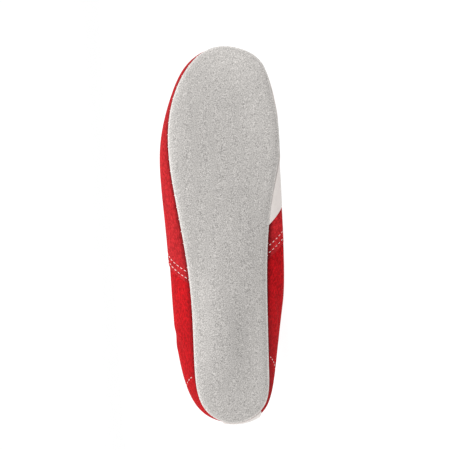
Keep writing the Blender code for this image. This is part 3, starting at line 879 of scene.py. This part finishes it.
def cloth(name):
    """Plain woven cloth."""
    dark, light, pitch = CLOTHS[name]
    made, tree, shader = new_material(name, light, 0.9)
    inputs = {"Vector": carried_by(tree, "weave", "Vector"), "Scale": WAVE_LENGTH / pitch, "Distortion": 0.6}
    waves = [add_node(tree, "ShaderNodeTexWave", inputs, bands_direction=way).outputs["Fac"] for way in "XY"]
    threads = times(tree, *waves)
    tint = blended(tree, ramp(tree, threads, 0.0, 1.0, 0.0, 0.5), dark, light)
    feed(tree, shader, {
        "Base Color": scaled(tree, tint, ramp(tree, noise(tree, CLOTH_SPECKS), 0.92, 1.06)),
        "Specular IOR Level": 0.2,
        "Normal": relief(tree, threads, WEAVE_RELIEF),
    })
    return made


def thread(name, dark, light):
    """Twisted sewing thread."""
    made, tree, shader = new_material(name, light, 0.65)
    twist = noise(tree, THREAD_TWIST)
    tint = blended(tree, ramp(tree, twist, 0.0, 1.0), dark, light)
    feed(tree, shader, {"Base Color": tint, "Normal": relief(tree, twist, THREAD_RELIEF)})
    return made


def metal(name, colour):
    """Satin metal with fine handling marks."""
    made, tree, shader = new_material(name, colour, 0.3)
    marks = noise(tree, METAL_MARKS, 4.0, MARKS_STRETCH)
    rough = ramp(tree, marks, 0.24, 0.42)
    feed(tree, shader, {"Metallic": 1.0, "Roughness": rough, "Normal": relief(tree, marks, METAL_RELIEF)})
    return made


def make_sole(stuff):
    """Soft sole with its turned, pale edge and shallow hollows, and painted light and shade on its edge and
    over it.
    """
    around = all_round(SOLE_COLUMNS)
    size = len(around)
    section = np.array(SOLE_SECTION)
    knots = run_lengths(section)
    edge = spline_weights(knots, np.linspace(0.0, knots[-1], EDGE_RINGS + 1)) @ section
    inward, height = edge[1:].T
    loops = []
    for share in np.linspace(SPINE_SHARE, 1.0, SOLE_RINGS):
        loop = sole_ring(around, section[0, 0], 0.0, share)
        loop[:, 2] += spots(SOLE_HOLLOWS, loop) * (1.0 - share**HOLLOW_FADE)
        loops.append(loop)
    loops += [sole_ring(around, *place) for place in zip(inward, height)]
    loops += [sole_ring(around, section[-1, 0], SOLE_THICK, share) for share in SOLE_TOP_SHARES]
    points = settled(np.concatenate(loops), 0.0)
    # The turned edge gets a paler cut edge with a painted highlight on it, and painted shade at its top
    rim = np.zeros(len(loops))
    shade = np.ones(len(loops))
    turned = slice(SOLE_RINGS, SOLE_RINGS + EDGE_RINGS)
    rim[turned] = smooth(*RIM_INWARD, inward) * smooth(*RIM_RISE, height)
    shade[turned] = 1.0 - RIM_SHADE * smooth(*RIM_SHADE_RISE, height)
    painted_shades = np.repeat((1.0 + RIM_PALE_AND_HIGHLIGHT * rim) * shade, size)
    # Painted light and shade in slow patches: lighter along the lateral edge and at the toe, darker in the
    # heel's hollow
    painted_shades *= (1.0 + spots(SOLE_PAINTED_SHADING, points)) ** TONE_GAMMA
    # Painted highlight along the rear part of the medial edge
    medial = smooth(*MEDIAL_ACROSS, points[:, 1]) * smooth(*MEDIAL_LINE, points[:, 0])
    painted_shades *= 1.0 + MEDIAL_RIM_HIGHLIGHT * medial * np.repeat(rim, size)
    faces = pad_faces(len(loops), size)
    add_piece("sole", points, faces, [stuff], ["outsole"], painted_shades=painted_shades)


def make_insole(stuff):
    """Thin insole with a rounded edge, on the sole inside the upper."""
    around = all_round(INSOLE_COLUMNS)
    bottom = SOLE_THICK + GAP
    places = [(INSOLE_INSET + inward, bottom + height) for inward, height in INSOLE_SECTION]
    loops = [sole_ring(around, INSOLE_INSET, bottom, SPINE_SHARE)]
    loops += [sole_ring(around, *place) for place in places]
    loops += [sole_ring(around, *places[-1], share) for share in INSOLE_TOP_SHARES]
    points = np.concatenate(loops)
    faces = pad_faces(len(loops), len(around))
    add_piece("insole_sock", points, faces, [stuff], ["insole"], weave=points[:, :2])


def upper_columns():
    """Shares of the upper's columns, close together at each edge of the vamp."""
    quarter = np.linspace(0.0, 1.0 - SEAM_FINE[-1], QUARTER_COLUMNS)
    vamp = np.linspace(1.0 + SEAM_FINE[-1], 2.0, VAMP_COLUMNS)
    fine = np.array(SEAM_FINE)
    lateral = np.concatenate([quarter, 1.0 - fine[-2::-1], [1.0], 1.0 + fine[:-1], vamp])
    return np.concatenate([lateral, 4.0 - lateral[-2:0:-1]])


def upper_painted_shade(points, around, up):
    """Painted shade of the upper: darker in creases, behind the vamp's edge and along the sole, and darker or
    lighter with the distance beyond the sole.
    """
    push = crease_push(surface(around.ravel(), up.ravel())).reshape(around.shape)
    painted_shading = 1.0 + np.clip(CREASE_SHADE * push, *CREASE_TONES)
    painted_shading *= 1.0 - SOLE_SHADE * (1.0 - smooth(*SOLE_SHADE_UP, up))
    beyond_sole = np.linalg.norm(points[..., :2] - points[:, :1, :2], axis=2)
    beyond_sole = np.maximum.accumulate(beyond_sole, axis=1)
    past_toe = smooth(TOE_STATION, TOE_STATION + MEDIAL_FADE, around)
    before_heel = smooth(STATIONS, STATIONS - MEDIAL_FADE, around)
    strength = between((LATERAL_SHADE, MEDIAL_SHADE), past_toe * before_heel)
    painted_shading *= 1.0 + strength * (smooth(0.0, SHADE_REACH, beyond_sole) - SHADE_MIDDLE)
    edge = seam_step(around, up) / VAMP_STEP
    return painted_shading * (1.0 - SEAM_SHADE * 4.0 * edge * (1.0 - edge))


def upper_rim(shares):
    """Stations, levels and points of the rounded top line, from the outer face over to the inner one."""
    top = spread(shares, np.ones_like(shares))
    below = surface(top, np.full_like(top, 1.0 - REACH_STEP))
    reach = np.linalg.norm(surface(top, np.ones_like(top)) - below, axis=1) / REACH_STEP
    turns = np.linspace(0.0, math.pi, RIM_STEPS + 2)[1:-1]
    up = 1.0 + WALL / 2.0 * np.sin(turns) / reach[:, None]
    depth = np.broadcast_to(WALL / 2.0 * (1.0 - np.cos(turns)), up.shape)
    around = spread(shares[:, None], up)
    lap = (1.0 - depth / WALL) * seam_step(around, np.ones_like(up))
    points, _ = skin(around, up, lap - depth, depth)
    return around, up, points


def over_rim(outer, rim, inner):
    """Grids of the outer face, the rim and the inner face as one that goes up, over and down."""
    return np.concatenate([outer, rim, inner[:, ::-1]], axis=1)


def upper_faces(shares, rows, pierced):
    """Faces of the upper, with walled holes where it is pierced, and the number of each one's material."""
    count = len(shares)
    last = rows - 1
    gone = np.zeros((count, rows), bool)
    gone[:, : UPPER_LEVELS - 1] = pierced
    gone[:, last - UPPER_LEVELS + 1 : last] = pierced[:, ::-1]
    i, j = np.nonzero(~gone)
    faces = grid_faces(count, rows, (True, True))[~gone.ravel()].tolist()
    outside = (j < UPPER_LEVELS + RIM_STEPS // 2) | (j == last)
    on_vamp = (shares[i] >= VAMP_SHARES[0]) & (shares[i] < VAMP_SHARES[1])
    stuffs = np.where(outside, np.where(on_vamp, 2, 0), 1).tolist()
    for i, j in zip(*np.nonzero(pierced)):
        after = (i + 1) % count
        sides = (
            ((i, j), (after, j), (i, j - 1)),
            ((after, j), (after, j + 1), (after, j)),
            ((after, j + 1), (i, j + 1), (i, j + 1)),
            ((i, j + 1), (i, j), ((i - 1) % count, j)),
        )
        for start, end, beyond in sides:
            if not pierced[beyond]:
                near = [start[0] * rows + start[1], end[0] * rows + end[1]]
                far = [end[0] * rows + last - end[1], start[0] * rows + last - start[1]]
                faces.append(near + far)
                stuffs.append(0)
    return faces, stuffs


def make_upper(red, lining, vamp):
    """Hollow upper with a lapped vamp, soft creases, a rounded top line, eyelet holes and a lining."""
    shares = upper_columns()
    levels = between((UPPER_LOW, 1.0), np.linspace(0.0, 1.0, UPPER_LEVELS) ** UPPER_CLUSTER)
    share, up = np.meshgrid(shares, levels, indexing="ij")
    around = spread(share, up)
    bed = OVERLAY_BED * np.maximum(under_panel(around, up), under_strip(around, up))
    outer, _ = skin(around, up, seam_step(around, up), bed)
    inner, _ = skin(around, up, -WALL, bed + WALL)
    inner[..., 2] = np.maximum(inner[..., 2], SOLE_THICK + GAP + lift(inner[..., 0], inner[..., 1]))
    rim_around, rim_up, rim = upper_rim(shares)
    points = over_rim(outer, rim, inner)
    painted_shades = np.ones(points.shape[:2])
    # Painted light and shade on the outer face only
    painted_shades[:, :UPPER_LEVELS] = upper_painted_shade(outer, around, up)
    centres, _ = skin(ALL_EYELETS, EYELET_UP)
    middle = (outer[:, :-1] + outer[:, 1:]) / 2.0
    middle = (middle + np.roll(middle, -1, axis=0)) / 2.0
    gaps = np.linalg.norm(middle[:, :, None] - centres, axis=3).min(2)
    faces, face_stuff = upper_faces(shares, points.shape[1], gaps < EYELET_HOLE)
    along = LINING_STATION * over_rim(around, rim_around, around)
    rise = LINING_HEIGHT * over_rim(up, rim_up, up)
    weave = np.column_stack([along.ravel(), rise.ravel()])
    stuffs = [red, lining, vamp]
    add_piece("upper_shell", points, faces, stuffs, ["upper"], face_stuff, painted_shades.ravel(), weave)


def add_overlay(name, around, up, base, stuff, node, skived=1.0):
    """Thin leather piece with rounded edges that lies on the upper, from grids of places on it.

    skived gives the share of the thickness that is left at each place.
    """
    low, _ = skin(around, up, base)
    rounded = rounding(low, OVERLAY_ROUND)
    full = OVERLAY_GAP + OVERLAY_THICK - OVERLAY_FOOT
    top, _ = skin(around, up, base + OVERLAY_FOOT + full * between((OVERLAY_EDGE, 1.0), rounded) * skived)
    bottom, _ = skin(around, up, base + OVERLAY_FOOT, OVERLAY_THICK)
    add_slab(name, top, bottom, [stuff], [node], rounded, EDGE_SHADE)


def panel_places(share, height):
    """Stations and levels of places on the white medial panel, from shares along and up it."""
    up = between((PANEL_BOTTOM, between(PANEL_TOP, share)), height)
    return between((PANEL_FRONT, leaning(PANEL_REAR, up)), share), up


def strip_places(share, height):
    """Stations and levels of places on the white heel strip, from shares across and up it."""
    return between((between(STRIP_MEDIAL, height), STRIP_LATERAL), share), between(STRIP_UP, height)


def make_overlays(stuff):
    """The white panel on the medial forefoot and the white strip up the heel."""
    share, height = np.meshgrid(*map(eased, PANEL_GRID), indexing="ij")
    skived = between((SKIVED_EDGE, 1.0), smooth(0.0, SKIVED_SHARE, share))
    add_overlay("forefoot_panel", *panel_places(share, height), VAMP_STEP, stuff, "medial_panel", skived)
    share, height = np.meshgrid(*map(eased, STRIP_GRID), indexing="ij")
    add_overlay("heel_back_strip", *strip_places(share, height), 0.0, stuff, "heel_strip")


def tongue_grid():
    """Coarse grid of points, each with its normal, of the flap from past the collar to under the vamp."""
    around, up = np.meshgrid(np.linspace(*TONGUE_STATIONS, TONGUE_ROWS), TONGUE_LEVELS, indexing="ij")
    lateral = np.concatenate(bare_skin(around, up), axis=2)
    medial = np.concatenate(bare_skin(STATIONS - around, up), axis=2)
    middle = (lateral[:, -1:] + medial[:, -1:]) / 2.0
    middle[..., 3:] = unit(middle[..., 3:])
    middle[..., :3] += TONGUE_CROWN * middle[..., 3:]
    throat = np.concatenate([lateral, middle, medial[:, ::-1]], axis=1)
    front_around = np.concatenate([FRONT_STATIONS, STATIONS - np.array(FRONT_STATIONS[-2::-1])])
    front_up = np.concatenate([FRONT_LEVELS, FRONT_LEVELS[-2::-1]])
    rows = [throat, np.concatenate(bare_skin(front_around[None], front_up[None]), axis=2)]
    for x, z, width in TONGUE_TOP:
        past_collar = throat[:1].copy()
        past_collar[..., :3] = between((middle[:1, :, :3], throat[:1, :, :3]), width) + (x, 0.0, z)
        rows.insert(0, past_collar)
    return np.concatenate(rows)


def refined(grid, along, across):
    """A grid of vectors read at finer places in both directions."""
    rows = spline_weights(np.arange(grid.shape[0]), along * (grid.shape[0] - 1))
    columns = spline_weights(np.arange(grid.shape[1]), across * (grid.shape[1] - 1))
    return np.einsum("ar,bc,rcv->abv", rows, columns, grid)


def make_tongue(stuffs):
    """Soft flap under the throat with rounded edges, suede outside and lining inside."""
    fine = refined(tongue_grid(), *map(eased, TONGUE_GRID))
    points = fine[..., :3]
    normal = unit(fine[..., 3:])
    rounded = rounding(points, TONGUE_THICK / 2.0)
    middle = points - (WALL + TONGUE_GAP + TONGUE_SUNK + TONGUE_THICK / 2.0) * normal
    half = (TONGUE_THICK / 2.0 * between((TONGUE_EDGE, 1.0), rounded))[..., None] * normal
    top = (middle + half)[:, ::-1]
    bottom = (middle - half)[:, ::-1]
    weave = np.concatenate([middle[:, ::-1, :2].reshape(-1, 2)] * 2)
    add_slab("tongue_flap", top, bottom, stuffs, ["tongue"], rounded, TONGUE_SHADE, weave)


def make_eyelets(stuff):
    """Rolled metal eyelets in two rows, with their barrels through the upper."""
    turns = np.linspace(0.0, math.pi, EYELET_STEPS)
    middle_r = (EYELET_INNER_R + EYELET_OUTER_R) / 2.0
    half = (EYELET_OUTER_R - EYELET_INNER_R) / 2.0
    rolled = np.column_stack([(OVERLAY_GAP + EYELET_HEIGHT) * np.sin(turns), middle_r - half * np.cos(turns)])
    section = np.concatenate([rolled, BARREL_SECTION])
    size = len(section)
    one = grid_faces(EYELET_SIDES, size, (True, True))
    angles = 2.0 * math.pi * np.arange(EYELET_SIDES)[:, None, None] / EYELET_SIDES
    points = []
    faces = []
    for centre, normal in zip(*skin(ALL_EYELETS, EYELET_UP)):
        first = unit(np.cross(normal, (1.0, 0.0, 0.0)))
        radial = np.cos(angles) * first + np.sin(angles) * np.cross(normal, first)
        faces += (len(points) * EYELET_SIDES * size + one).tolist()
        points.append(centre + section[:, :1] * normal + section[:, 1:] * radial)
    nodes = [f"eyelet_{side}_{k}" for side in ("lateral", "medial") for k in range(1, EYELET_PAIRS + 1)]
    add_piece("eyelets", np.array(points), faces, [stuff], nodes)


def throat_point(station, share, above):
    """A point over the throat, share of the way from the lateral edge to the medial one, and its normal."""
    edges, edge_normals = skin(np.array([station, STATIONS - station]), np.ones(2))
    normal = unit(between(edge_normals, share))
    crown = LACE_CROWN * 4.0 * share * (1.0 - share)
    return between(edges, share) + (above + crown) * normal, normal


def through_eyelet(station, medial):
    """Lace through an eyelet from the inside to the outside, as points, normals and width shares."""
    place = np.array([STATIONS - station if medial else station])
    run = []
    for above, towards_throat, width in EYELET_RUN:
        points, normal = skin(place, EYELET_UP + towards_throat, above)
        run.append((points[0], normal[0], width))
    return run


def strand(medial, over):
    """One half of the lace, from under the lowest pair of eyelets up to its end in the top pair."""
    stations = EYELET_STATIONS[::-1]
    middle = LACE_MIDDLE + over
    run = []
    for k, (start, end) in enumerate(zip(stations[:-1], stations[1:])):
        first = LACE_UNDER if k == 0 else LACE_ON_EDGE
        heights = (first, (first + middle) / 2.0, middle, LACE_PAST, LACE_UNDER)
        for share, above in zip(CROSSING_SHARES, heights):
            across = 1.0 - share if medial else share
            run.append((*throat_point(between((start, end), share), across, above), 1.0))
        medial = not medial
        run += through_eyelet(end, medial)
    return run[:-1]


def make_lace(stuff):
    """One flat lace: a bar over the vamp, and two strands that cross at each step up the throat."""
    bar = through_eyelet(EYELET_LAST, False)
    bar += [(*throat_point(EYELET_LAST, share, LACE_ON_EDGE), 1.0) for share in BAR_SHARES]
    bar += through_eyelet(EYELET_LAST, True)[::-1]
    run = strand(False, LACE_OVER)[::-1] + bar + strand(True, -LACE_OVER)
    keys = np.array([np.concatenate([point, normal, [width]]) for point, normal, width in run])
    steps = np.linalg.norm(np.diff(keys[:, :3], axis=0), axis=1)
    knots = np.concatenate([[0.0], np.cumsum(np.maximum(steps, LACE_KNOT_STEP))])
    along = np.linspace(0.0, knots[-1], int(knots[-1] / LACE_STEP))
    fine = spline_weights(knots, along) @ keys
    tangent = unit(np.gradient(fine[:, :3], axis=0))
    side = unit(np.cross(fine[:, 3:6], tangent))
    face = np.cross(tangent, side)
    width = np.clip(fine[:, 6], LACE_NARROWEST, 1.0) * LACE_WIDTH / 2.0
    thick = LACE_THICK / 2.0 / np.clip(fine[:, 6], LACE_THICKEST, 1.0)
    angles = np.linspace(0.0, 2.0 * math.pi, LACE_SIDES, endpoint=False)
    wide, high = (np.sign(turn) * np.abs(turn) ** LACE_SQUARE for turn in (np.cos(angles), np.sin(angles)))
    across = width[:, None] * wide
    loops = fine[:, None, :3] + across[..., None] * side[:, None]
    loops += (thick[:, None] * high)[..., None] * face[:, None]
    weave = np.stack([along[:, None] + across, along[:, None] - across], axis=2).reshape(-1, 2)
    faces = tube_faces(len(loops), LACE_SIDES)
    add_piece("lace_braid", loops, faces, [stuff], ["lace"], weave=weave)


def vamp_row(seam, medial, offset):
    """Places of a row of stitches that follows the vamp's edge at a distance in front of it."""
    up = np.linspace(*ROW_UP, ROW_SAMPLES)
    edge = leaning(seam, up)
    around = STATIONS - edge if medial else edge
    step = surface(around + SMALL_STEP, up) - surface(around - SMALL_STEP, up)
    ahead = offset * 2.0 * SMALL_STEP / np.linalg.norm(step, axis=1)
    return around + (-ahead if medial else ahead), up


def heel_row(row, medial):
    """Places of a row of stitches that rises between two levels and leans towards the heel."""
    *edge, low, top = row
    up = np.linspace(low, top, ROW_SAMPLES)
    around = leaning(edge, up)
    return (STATIONS - around if medial else around), up


def level_row(first, last, up):
    """Places of a row of stitches at one level."""
    return np.linspace(first, last, ROW_SAMPLES), np.full(ROW_SAMPLES, up)


def stitch(start, end, normal, rise):
    """Points of one stitch, which dips into the skin at both ends, as rings of STITCH_SIDES points."""
    share = np.linspace(0.0, 1.0, STITCH_RINGS)[:, None]
    bow = np.sin(math.pi * share)
    middle = start + share * (end - start) + (rise * bow**BOW_BLUNT - STITCH_RADIUS * STITCH_SUNK) * normal
    radius = STITCH_RADIUS * between((STITCH_END, 1.0), np.sqrt(bow))
    side = unit(np.cross(normal, end - start))
    angles = 2.0 * math.pi * np.arange(STITCH_SIDES)[:, None] / STITCH_SIDES
    ring = np.cos(angles) * side + np.sin(angles) * normal
    return (middle[:, None] + radius[:, None] * ring).reshape(-1, 3)


def sew(name, stitches, stuff):
    """All the stitches of one thread as a piece, from starts, ends, normals and rises."""
    points = np.concatenate([stitch(*seat) for seat in stitches])
    one = tube_faces(STITCH_RINGS, STITCH_SIDES)
    size = STITCH_RINGS * STITCH_SIDES
    faces = [[k * size + corner for corner in face] for k in range(len(stitches)) for face in one]
    add_piece(name, pressed(points), faces, [stuff])


def along_row(places, outward, seat=FULL_STITCH):
    """Stitches at an even pitch along a row of places on the skin."""
    pitch, length, rise = seat
    points, normal = skin(*places, outward)
    lengths = run_lengths(points)
    starts = np.arange(pitch / 2.0, lengths[-1] - pitch, pitch)

    def read(vectors, at):
        return np.column_stack([np.interp(at, lengths, vectors[:, axis]) for axis in range(3)])

    facing = unit(read(normal, starts + length / 2.0))
    return [(*seat, rise) for seat in zip(read(points, starts), read(points, starts + length), facing)]


def sole_ticks():
    """Short threads across the seam between the sole and the upper."""
    around = np.linspace(0.0, STATIONS, TICK_SAMPLES * STATIONS)
    lengths = run_lengths(sole_edge(around, 0.0))
    station = np.interp(np.arange(TICK_PITCH / 2.0, lengths[-1], TICK_PITCH), lengths, around)
    up = np.full_like(station, TICK_UP)
    low = settled(sole_ring(station, TICK_INSET, TICK_LOW), TICK_CLEAR)
    high, _ = skin(station, up, seam_step(station, up), TICK_CLEAR)
    out = sole_edge(station, -1.0) - sole_edge(station, 0.0)
    facing = np.column_stack([out, np.full(len(out), -TICK_DOWN)]) / TICK_FACING
    return [(*seat, TICK_RISE) for seat in zip(low, high, facing)]


def make_stitches(white, red):
    """Rows of stitches over the upper, and the threads along the sole."""
    rows = []
    for offset in LATERAL_ROWS:
        rows += along_row(vamp_row(SEAM_LATERAL, False, offset), VAMP_STEP)
    for offset in MEDIAL_ROWS:
        rows += along_row(vamp_row(SEAM_MEDIAL, True, offset), VAMP_STEP, SHORT_STITCH)
    rows += along_row(heel_row(HEEL_ROW_LATERAL, False), 0.0, HEEL_STITCH)
    rows += along_row(heel_row(HEEL_ROW_MEDIAL, True), 0.0, HEEL_STITCH)
    sew("seam_stitches", rows, white)
    rows = []
    for level, first, last in TOP_ROWS:
        rows += along_row(level_row(first, last, level), 0.0)
        rows += along_row(level_row(STATIONS - first, STATIONS - last, level), 0.0)
    sew("top_line_stitches", rows, red)
    inset = np.full(ROW_SAMPLES, OVERLAY_ROW_IN)
    along = np.linspace(*OVERLAY_ROW, ROW_SAMPLES)
    top = OVERLAY_GAP + OVERLAY_THICK
    rows = along_row(strip_places(inset, along), top)
    rows += along_row(strip_places(1.0 - inset, along), top)
    rows += along_row(panel_places(along, 1.0 - inset), VAMP_STEP + top)
    sew("overlay_stitches", rows, white)
    sew("sole_threads", sole_ticks(), white)


def make_camera():
    """Camera that looks straight at the sole, with the toe at the top of the picture."""
    to_toe, to_medial, to_top = TURN.T
    place = in_world([VIEW_MIDDLE])[0] - to_top * CAMERA_DISTANCE * MM
    data = bpy.data.cameras.new("camera")
    data.sensor_width = 36.0
    data.lens = data.sensor_width * CAMERA_DISTANCE / VIEW_WIDTH
    data.clip_start = 0.05
    data.clip_end = 100.0
    made = in_scene("camera", data)
    turn = Matrix((to_medial, to_toe, -to_top)).transposed().to_4x4()
    made.matrix_world = Matrix.Translation(Vector(place)) @ turn
    bpy.context.scene.camera = made


def make_floor():
    """Plain pale floor under the shoe."""
    half = FLOOR_REACH / 2.0
    mesh = bpy.data.meshes.new("floor")
    corners = [(-half, -half, 0.0), (half, -half, 0.0), (half, half, 0.0), (-half, half, 0.0)]
    mesh.from_pydata(corners, [], [(0, 1, 2, 3)])
    stuff, tree, shader = new_material("floor_paint", FLOOR_COLOUR, 0.9)
    feed(tree, shader, {"Specular IOR Level": 0.1, "Emission Color": WHITE, "Emission Strength": FLOOR_GLOW})
    mesh.materials.append(stuff)
    made = in_scene("floor", mesh)


def make_key_light():
    """Soft square light over the shoe."""
    data = bpy.data.lights.new("key", "AREA")
    data.shape = "SQUARE"
    data.size = KEY_SIZE
    data.energy = KEY_POWER
    made = in_scene("key", data)
    made.location = KEY_PLACE
    made.rotation_mode = "QUATERNION"
    made.rotation_quaternion = (Vector(KEY_AIM) - Vector(KEY_PLACE)).to_track_quat("-Z", "Y")


def make_world():
    """Soft white light from all round, strongest from overhead."""
    world = bpy.data.worlds.new("studio")
    world.use_nodes = True
    tree = world.node_tree
    place = add_node(tree, "ShaderNodeTexCoord", {})
    parts = add_node(tree, "ShaderNodeSeparateXYZ", {"Vector": place.outputs["Generated"]})
    strength = ramp(tree, parts.outputs["Z"], HORIZON_LIGHT, OVERHEAD_LIGHT, 0.0, 1.0)
    feed(tree, tree.nodes["Background"], {"Color": WHITE, "Strength": strength})
    bpy.context.scene.world = world


def main():
    """Camera, pieces of the shoe, stage and the view's colour transform."""
    make_camera()
    lining = cloth("lining_cloth")
    make_sole(suede("sole_suede"))
    make_insole(cloth("insole_weave"))
    make_upper(suede("upper_suede"), lining, suede("vamp_suede_painted_sheen"))
    make_overlays(leather("white_leather_grain", *SHADED_WHITE_LEATHER))
    make_tongue([suede("tongue_nap"), lining])
    make_eyelets(metal("eyelet_satin", EYELET_COLOUR))
    make_lace(cloth("lace_weave"))
    make_stitches(thread("white_thread", *WHITE_THREAD), thread("red_thread", *RED_THREAD))
    make_floor()
    make_key_light()
    make_world()
    bpy.context.scene.view_settings.view_transform = "Standard"


main()
